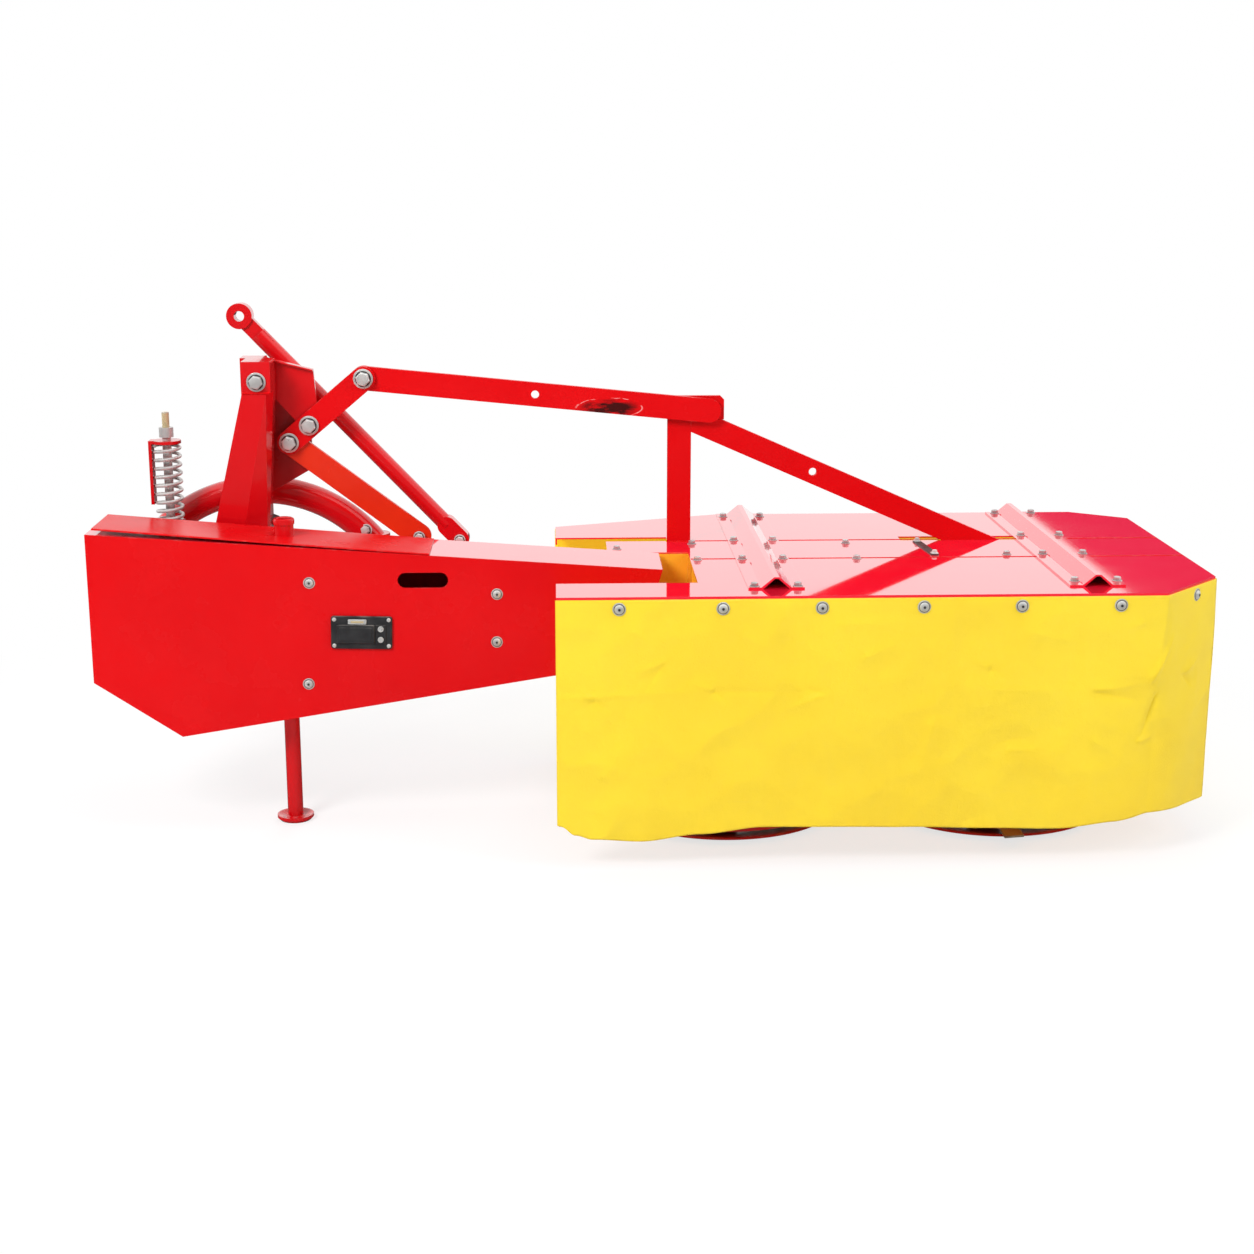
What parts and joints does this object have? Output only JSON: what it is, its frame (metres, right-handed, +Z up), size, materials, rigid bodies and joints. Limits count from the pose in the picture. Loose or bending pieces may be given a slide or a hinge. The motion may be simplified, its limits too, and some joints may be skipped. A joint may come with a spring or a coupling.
{
  "type": "drum mower",
  "caption": "Red side-mounted drum mower with a yellow crop curtain, sloping belt housing, support leg, flat-bar lift linkage and arched three-point hitch frame.",
  "frame": {"origin": "middle of the machine's box, on the floor", "axes": "+X from the hitch end to the outer end of the deck, +Y in the driving direction, +Z up"},
  "size_m": [2.7344, 1.02, 1.253],
  "materials": {
    "red_paint": "gloss",
    "dark_red_paint": "gloss",
    "orange_paint": "gloss",
    "yellow_curtain": "satin coated cloth",
    "knife_steel": "dull spring steel",
    "zinc_steel": "zinc plated"
  },
  "bodies": {
    "deck": {"deck_rear": "red_paint", "deck_strip": "red_paint", "deck_front": "red_paint", "rib_left": "red_paint", "rib_right": "red_paint", "gear_beam": "dark_red_paint", "hinge_tube": "dark_red_paint", "lift_upright": "red_paint", "lift_brace": "red_paint", "curtain_rear": "yellow_curtain", "curtain_end": "yellow_curtain", "curtain_front": "yellow_curtain"},
    "left_drum": {"drum_left": "dark_red_paint", "knives_left": "knife_steel"},
    "right_drum": {"drum_right": "dark_red_paint", "knives_right": "knife_steel"},
    "left_dish": {"dish_left": "dark_red_paint"},
    "right_dish": {"dish_right": "dark_red_paint"},
    "belt_housing": {"housing_cover": "red_paint", "housing_body": "red_paint", "leg_sleeve": "red_paint", "drive_hub": "dark_red_paint", "link_bracket": "red_paint", "stay_bracket": "red_paint"},
    "input": {"input_shaft": "zinc_steel"},
    "support_leg": {"leg": "red_paint"},
    "headstock": {"kingpost": "red_paint", "lever_bracket": "red_paint", "kingpost_gusset": "dark_red_paint", "swing_arm": "red_paint", "swing_rod": "zinc_steel"},
    "lever": {"lever_plates": "red_paint"},
    "link": {"lower_link": "orange_paint"},
    "tie": {"tie_bar": "red_paint"},
    "hitch_frame": {"hoop": "red_paint", "swing_lug": "red_paint", "hitch_pins": "zinc_steel", "safety_spring": "zinc_steel", "spring_clamp": "red_paint"},
    "stay_bar": {"stay": "red_paint"}
  },
  "joints": [
    {"name": "left_drum_spin", "type": "hinge", "parent": "deck", "child": "left_drum", "pos_m": [0.22025, -0.075, 0.3], "axis": [0, 0, 1], "continuous": true},
    {"name": "right_drum_spin", "type": "hinge", "parent": "deck", "child": "right_drum", "pos_m": [0.89525, -0.075, 0.3], "axis": [0, 0, 1], "continuous": true},
    {"name": "left_dish_spin", "type": "hinge", "parent": "left_drum", "child": "left_dish", "pos_m": [0.22025, -0.075, 0.06], "axis": [0, 0, 1], "continuous": true},
    {"name": "right_dish_spin", "type": "hinge", "parent": "right_drum", "child": "right_dish", "pos_m": [0.89525, -0.075, 0.06], "axis": [0, 0, 1], "continuous": true},
    {"name": "deck_lift", "type": "hinge", "parent": "deck", "child": "belt_housing", "pos_m": [-0.01475, -0.125, 0.52], "axis": [0, 1, 0], "range_deg": [-3, 12]},
    {"name": "input_spin", "type": "hinge", "parent": "belt_housing", "child": "input", "pos_m": [-1.02475, 0.095, 0.5], "axis": [0, 1, 0], "continuous": true},
    {"name": "leg_slide", "type": "slide", "parent": "belt_housing", "child": "support_leg", "axis": [0, 0, 1], "range_m": [0, 0.2]},
    {"name": "headstock_tilt", "type": "hinge", "parent": "belt_housing", "child": "headstock", "pos_m": [-1.02475, 0.045, 0.5], "axis": [0, 1, 0], "range_deg": [-5, 3]},
    {"name": "lever_turn", "type": "hinge", "parent": "headstock", "child": "lever", "pos_m": [-0.80675, 0.107, 0.957], "axis": [0, 1, 0], "range_deg": [-25, 8]},
    {"name": "link_turn", "type": "hinge", "parent": "belt_housing", "child": "link", "pos_m": [-0.53975, 0.107, 0.672], "axis": [0, 1, 0], "range_deg": [-3, 3]},
    {"name": "tie_turn", "type": "hinge", "parent": "lever", "child": "tie", "pos_m": [-0.66886, 0.107, 1.0727], "axis": [0, 1, 0], "range_deg": [-10, 32]},
    {"name": "breakaway_swing", "type": "hinge", "parent": "headstock", "child": "hitch_frame", "pos_m": [-1.16175, 0.095, 0.65], "axis": [0, 0, 1], "range_deg": [0, 45]},
    {"name": "stay_turn", "type": "hinge", "parent": "belt_housing", "child": "stay_bar", "pos_m": [-0.44075, 0.185, 0.65], "axis": [0, 1, 0], "range_deg": [-8, 40]}
  ],
  "couplings": [
    {"joint": "right_drum_spin", "follows": "left_drum_spin", "ratio": -1},
    {"joint": "input_spin", "follows": "left_drum_spin", "ratio": 0.3},
    {"joint": "headstock_tilt", "follows": "deck_lift", "ratio": -0.3},
    {"joint": "lever_turn", "follows": "deck_lift", "ratio": -2},
    {"joint": "link_turn", "follows": "deck_lift", "ratio": -0.08},
    {"joint": "tie_turn", "follows": "deck_lift", "ratio": 2.55}
  ]
}
